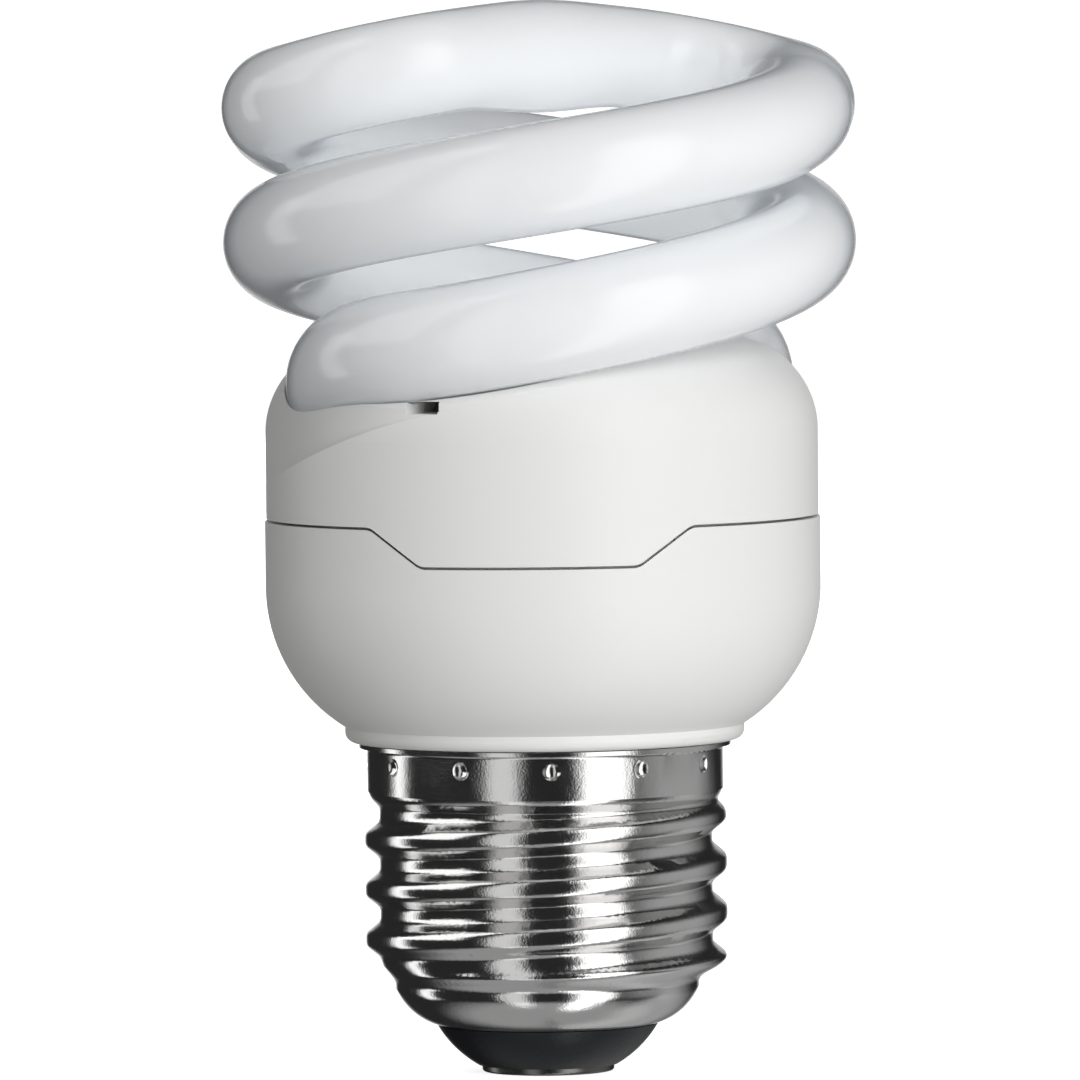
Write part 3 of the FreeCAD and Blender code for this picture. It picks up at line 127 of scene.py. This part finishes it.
def material(name, colour, roughness, metallic=0.0, coat=0.0, coat_roughness=0.03, specular=0.5):
    made = bpy.data.materials.new(name)
    made.use_nodes = True
    shader = made.node_tree.nodes["Principled BSDF"]
    shader.inputs["Base Color"].default_value = (*colour, 1.0)
    shader.inputs["Roughness"].default_value = roughness
    shader.inputs["Metallic"].default_value = metallic
    shader.inputs["Coat Weight"].default_value = coat
    shader.inputs["Coat Roughness"].default_value = coat_roughness
    shader.inputs["Specular IOR Level"].default_value = specular
    return made, shader


def link(made, source, target):
    made.node_tree.links.new(source, target)


def node(made, kind):
    return made.node_tree.nodes.new(kind)


def noise(made, scale, detail):
    """Noise that is fixed to the solid it lies on."""
    place = node(made, "ShaderNodeTexCoord")
    pattern = node(made, "ShaderNodeTexNoise")
    pattern.inputs["Scale"].default_value = scale
    pattern.inputs["Detail"].default_value = detail
    link(made, place.outputs["Object"], pattern.inputs["Vector"])
    return pattern.outputs["Fac"]


def relief(made, height, strength, distance):
    bump = node(made, "ShaderNodeBump")
    bump.inputs["Strength"].default_value = strength
    bump.inputs["Distance"].default_value = distance
    link(made, height, bump.inputs["Height"])
    return bump


def speckle(made, shader, scale, low, high, bump=0.0):
    """Slight unevenness of the finish: roughness wanders between low and high."""
    pattern = noise(made, scale, FINISH_DETAIL)
    spread = node(made, "ShaderNodeMapRange")
    spread.inputs["To Min"].default_value = low
    spread.inputs["To Max"].default_value = high
    link(made, pattern, spread.inputs["Value"])
    link(made, spread.outputs["Result"], shader.inputs["Roughness"])
    if bump:
        raised = relief(made, pattern, bump, FINISH_HEIGHT)
        link(made, raised.outputs["Normal"], shader.inputs["Normal"])


def glass_tube():
    """White phosphor under clear glass: light soaks through it, a painted glow brightens it, and painted
    shade darkens it where the wall is edge on.
    """
    made, shader = material("phosphor_glass", PHOSPHOR, 0.5, coat=0.8, coat_roughness=0.07)
    speckle(made, shader, 40.0, 0.45, 0.55)
    shader.inputs["Subsurface Weight"].default_value = 1.0
    shader.inputs["Subsurface Radius"].default_value = (1.0, 1.0, 1.0)
    shader.inputs["Subsurface Scale"].default_value = PHOSPHOR_DEPTH
    # Painted glow: the tube gives off a little light of the phosphor's colour, which lifts its shaded sides,
    # though the tube itself is not lit
    shader.inputs["Emission Color"].default_value = (*PHOSPHOR, 1.0)
    shader.inputs["Emission Strength"].default_value = PAINTED_GLOW
    # Painted shade: the base colour darkens from the phosphor's white towards the edge tone as the wall
    # turns edge on
    edge = node(made, "ShaderNodeLayerWeight")
    edge.inputs["Blend"].default_value = 0.5
    painted_edge_shade = node(made, "ShaderNodeValToRGB")
    stops = painted_edge_shade.color_ramp.elements
    stops[0].position = FACING_STOP
    stops[0].color = (*PHOSPHOR, 1.0)
    stops[1].position = EDGE_STOP
    stops[1].color = (*EDGE_PAINTED_SHADE, 1.0)
    slant = stops.new(SLANT_STOP)
    slant.color = (*SLANT_PAINTED_SHADE, 1.0)
    link(made, edge.outputs["Facing"], painted_edge_shade.inputs["Fac"])
    link(made, painted_edge_shade.outputs["Color"], shader.inputs["Base Color"])
    return made


def housing_plastic():
    made, shader = material("satin_white_plastic", (0.85, 0.853, 0.838), 0.42, specular=0.4)
    speckle(made, shader, 900.0, 0.38, 0.46, bump=0.15)
    return made


def nickel():
    """Bright plate over rolled brass: slow waves from the rolling, and a fine grain that sparkles."""
    made, shader = material("nickel_plate", (0.655, 0.65, 0.645), 0.16, metallic=1.0)
    speckle(made, shader, 900.0, 0.08, 0.16)
    scale, strength, height = PLATE_WAVES
    waves = relief(made, noise(made, scale, PLATE_DETAIL), strength, height)
    scale, strength, height = PLATE_GRAIN
    grain = relief(made, noise(made, scale, PLATE_DETAIL), strength, height)
    link(made, waves.outputs["Normal"], grain.inputs["Normal"])
    link(made, grain.outputs["Normal"], shader.inputs["Normal"])
    return made


def black_glass():
    made, shader = material("black_glass", (0.007, 0.008, 0.010), 0.3, specular=0.3)
    speckle(made, shader, 2500.0, 0.24, 0.4, bump=0.2)
    return made


def plain(name, colour, roughness, metallic=0.0):
    made, shader = material(name, colour, roughness, metallic)
    speckle(made, shader, 400.0, roughness * 0.85, roughness * 1.15)
    return made


def smooth(share):
    share = min(max(share, 0.0), 1.0)
    return share * share * (3 - 2 * share)


def rolled_thread(point):
    """Fills the thread's crests and flattens its roots, as rolling leaves them, at the solid's depth."""
    turn = math.atan2(point.y, point.x) - math.radians(THREAD_TURN)
    wave = (1 + math.cos(2 * math.pi * (point.z - THREAD_CREST_Z) / THREAD_PITCH - turn)) / 2
    fade = smooth((point.z - THREAD_LOW_Z) / THREAD_RUN_IN)
    fade *= smooth((THREAD_TOP_Z - point.z) / THREAD_RUN_IN)
    level = math.hypot(point.x, point.y)
    grown = level + THREAD_DEPTH * fade * (smooth(wave) - wave)
    return Vector((point.x * grown / level, point.y * grown / level, point.z))


def seamless(name, piece_name, made, reshape=None):
    """Stands a copy of a solid in its place, with its patches joined so that light runs across them."""
    work = bmesh.new()
    work.from_mesh(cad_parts[name].data)
    bmesh.ops.remove_doubles(work, verts=work.verts, dist=JOIN_DISTANCE)
    if reshape:
        for vertex in work.verts:
            vertex.co = reshape(vertex.co)
    mesh = bpy.data.meshes.new(piece_name)
    work.to_mesh(mesh)
    work.free()
    if "custom_normal" in mesh.attributes:
        mesh.attributes.remove(mesh.attributes["custom_normal"])
    mesh.shade_smooth()
    mesh.set_sharp_from_angle(angle=math.radians(SHARP_ANGLE))
    mesh.materials.clear()
    mesh.materials.append(made)
    piece = bpy.data.objects.new(piece_name, mesh)
    bpy.context.collection.objects.link(piece)
    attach(piece, "root")
    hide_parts(name)


def dress(names, made):
    for name in names:
        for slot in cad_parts[name].material_slots:
            slot.link = "OBJECT"
            slot.material = made


seamless("discharge_tube", "spiral_tube", glass_tube())
dress(["upper_housing", "lower_housing"], housing_plastic())
seamless("screw_shell", "rolled_shell", nickel(), rolled_thread)
dress(["centre_contact"], plain("dull_tin", (0.16, 0.157, 0.15), 0.28, 1.0))
dress(["cap_insulator"], black_glass())
dress(["tube_cement"], plain("cement", (0.75, 0.73, 0.68), 0.8))
dress(["filament_leads", "wire_posts"], plain("tinned_wire", (0.6, 0.58, 0.55), 0.35, 1.0))
dress(["contact_lead", "shell_lead"], plain("copper_wire", (0.7, 0.45, 0.28), 0.35, 1.0))
dress(["choke_winding", "drive_windings", "inductor_winding"],
      plain("enamelled_copper", (0.55, 0.2, 0.06), 0.3))
dress(["choke_core", "drive_ring_core", "inductor_core"], plain("ferrite", (0.05, 0.05, 0.055), 0.6))
dress(["choke_bobbin", "high_side_transistor", "low_side_transistor", "rectifier_diodes"],
      plain("black_plastic", (0.02, 0.02, 0.02), 0.5))
dress(["smoothing_capacitor"], plain("capacitor_sleeve", (0.03, 0.03, 0.04), 0.35))
dress(["start_capacitor", "snubber_capacitor"], plain("red_dip", (0.35, 0.06, 0.03), 0.3))
dress(["blocking_capacitor"], plain("green_dip", (0.04, 0.22, 0.1), 0.3))
dress(["base_resistors"], plain("beige_lacquer", (0.6, 0.5, 0.33), 0.4))
dress(["trigger_diode"], plain("blue_lacquer", (0.05, 0.12, 0.4), 0.4))
dress(["fusible_resistor"], plain("grey_lacquer", (0.2, 0.3, 0.24), 0.5))
dress(["circuit_board"], plain("board", (0.5, 0.4, 0.2), 0.6))


def around(azimuth, elevation, distance):
    """A place round the lamp: azimuth in degrees to the right of its front."""
    turn = math.radians(azimuth)
    rise = math.radians(elevation)
    level = Vector((math.sin(turn), -math.cos(turn), 0)) * math.cos(rise)
    return MIDDLE + (level + Vector((0, 0, math.sin(rise)))) * distance


def area_light(name, azimuth, elevation, width, height, power):
    """A panel that faces the lamp. Glossy surfaces see the cards in its place."""
    data = bpy.data.lights.new(name, "AREA")
    data.shape = "RECTANGLE"
    data.size = width
    data.size_y = height
    data.energy = power
    panel = bpy.data.objects.new(name, data)
    bpy.context.collection.objects.link(panel)
    panel.location = around(azimuth, elevation, LIGHT_DISTANCE)
    panel.rotation_mode = "QUATERNION"
    panel.rotation_quaternion = (MIDDLE - panel.location).to_track_quat("-Z", "Y")
    panel.visible_glossy = False


def hollow_light():
    """What the white coils throw at one another: a soft glow in the hollow between them."""
    data = bpy.data.lights.new("inside", "POINT")
    data.energy = HOLLOW_POWER
    data.shadow_soft_size = HOLLOW_R
    glow = bpy.data.objects.new("inside", data)
    bpy.context.collection.objects.link(glow)
    glow.location = HOLLOW
    glow.visible_camera = False
    glow.visible_glossy = False


def floor():
    bpy.ops.mesh.primitive_plane_add(size=FLOOR_WIDTH, location=(0, 0, 0))
    ground = bpy.context.object
    ground.name = "studio_floor"
    made, shader = material("studio_floor", (0.85, 0.85, 0.85), 0.9, specular=0.0)
    shader.inputs["Emission Color"].default_value = (1, 1, 1, 1)
    shader.inputs["Emission Strength"].default_value = FLOOR_GLOW
    ground.data.materials.append(made)
    ground.visible_glossy = False
    ground.visible_diffuse = False
    ground.visible_shadow = False


def reckon(tree, operation, *values):
    """One step of sums in the world's shader: each value is a number or an output."""
    step = tree.nodes.new("ShaderNodeMath")
    step.operation = operation
    for socket, value in zip(step.inputs, values):
        if isinstance(value, (int, float)):
            socket.default_value = value
        else:
            tree.links.new(value, socket)
    return step.outputs["Value"]


def within(tree, angle, middle, half, soft):
    """1 where an angle in degrees lies within half of the middle, fading to 0 across the soft edge."""
    fade = tree.nodes.new("ShaderNodeMapRange")
    fade.interpolation_type = "SMOOTHSTEP"
    fade.inputs["From Min"].default_value = half - soft
    fade.inputs["From Max"].default_value = half + soft
    fade.inputs["To Min"].default_value = 1.0
    fade.inputs["To Max"].default_value = 0.0
    away = reckon(tree, "ABSOLUTE", reckon(tree, "SUBTRACT", angle, float(middle)))
    tree.links.new(away, fade.inputs["Value"])
    return fade.outputs["Result"]


def reflected_studio(tree):
    """The brightness of the studio in each direction, for glossy surfaces."""
    place = tree.nodes.new("ShaderNodeTexCoord")
    split = tree.nodes.new("ShaderNodeSeparateXYZ")
    tree.links.new(place.outputs["Generated"], split.inputs["Vector"])
    front = reckon(tree, "MULTIPLY", split.outputs["Y"], -1.0)
    azimuth = reckon(tree, "DEGREES", reckon(tree, "ARCTAN2", split.outputs["X"], front))
    elevation = reckon(tree, "DEGREES", reckon(tree, "ARCSINE", split.outputs["Z"]))
    total = DARK_ROOM
    for turn, rise, half_width, half_height, soft, brightness in CARDS:
        across = within(tree, azimuth, turn, half_width, soft)
        upright = within(tree, elevation, rise, half_height, soft)
        share = reckon(tree, "MULTIPLY", reckon(tree, "MULTIPLY", across, upright), brightness)
        total = reckon(tree, "ADD", share, total)
    return total


def even(tree, strength):
    """A white background of one brightness."""
    made = tree.nodes.new("ShaderNodeBackground")
    made.inputs["Color"].default_value = (1, 1, 1, 1)
    made.inputs["Strength"].default_value = strength
    return made


def choose(tree, ray, otherwise, seen):
    """One shader for rays of this kind, and the other for all the rest."""
    mix = tree.nodes.new("ShaderNodeMixShader")
    tree.links.new(ray, mix.inputs["Fac"])
    tree.links.new(otherwise, mix.inputs[1])
    tree.links.new(seen, mix.inputs[2])
    return mix.outputs["Shader"]


def surroundings():
    """White behind the lamp for the camera, cards for glossy surfaces, and even daylight for the rest."""
    world = bpy.data.worlds.new("studio")
    bpy.context.scene.world = world
    world.use_nodes = True
    tree = world.node_tree
    tree.nodes.remove(tree.nodes["Background"])
    daylight = even(tree, AMBIENT)
    white = even(tree, BACKGROUND)
    cards = even(tree, DARK_ROOM)
    tree.links.new(reflected_studio(tree), cards.inputs["Strength"])
    path = tree.nodes.new("ShaderNodeLightPath")
    glossy = path.outputs["Is Glossy Ray"]
    rest = choose(tree, glossy, daylight.outputs["Background"], cards.outputs["Background"])
    shown = choose(tree, path.outputs["Is Camera Ray"], rest, white.outputs["Background"])
    tree.links.new(shown, tree.nodes["World Output"].inputs["Surface"])


def camera():
    data = bpy.data.cameras.new("camera")
    data.lens = CAMERA_LENS
    data.sensor_width = SENSOR_WIDTH
    data.clip_start = NEAR_CLIP
    data.clip_end = FAR_CLIP
    cam = bpy.data.objects.new("camera", data)
    bpy.context.collection.objects.link(cam)
    turn = math.radians(CAMERA_AZIMUTH)
    level = Vector((math.sin(turn), -math.cos(turn), 0))
    cam.location = level * CAMERA_DISTANCE + Vector((0, 0, CAMERA_HEIGHT))
    look = (AIM - cam.location).to_track_quat("-Z", "Y").to_matrix().to_4x4()
    roll = Matrix.Rotation(math.radians(-CAMERA_ROLL), 4, "Z")
    cam.matrix_world = Matrix.Translation(cam.location) @ look @ roll
    bpy.context.scene.camera = cam


for row in LIGHTS:
    area_light(*row)
hollow_light()
floor()
surroundings()
camera()
bpy.context.scene.view_settings.view_transform = "Standard"
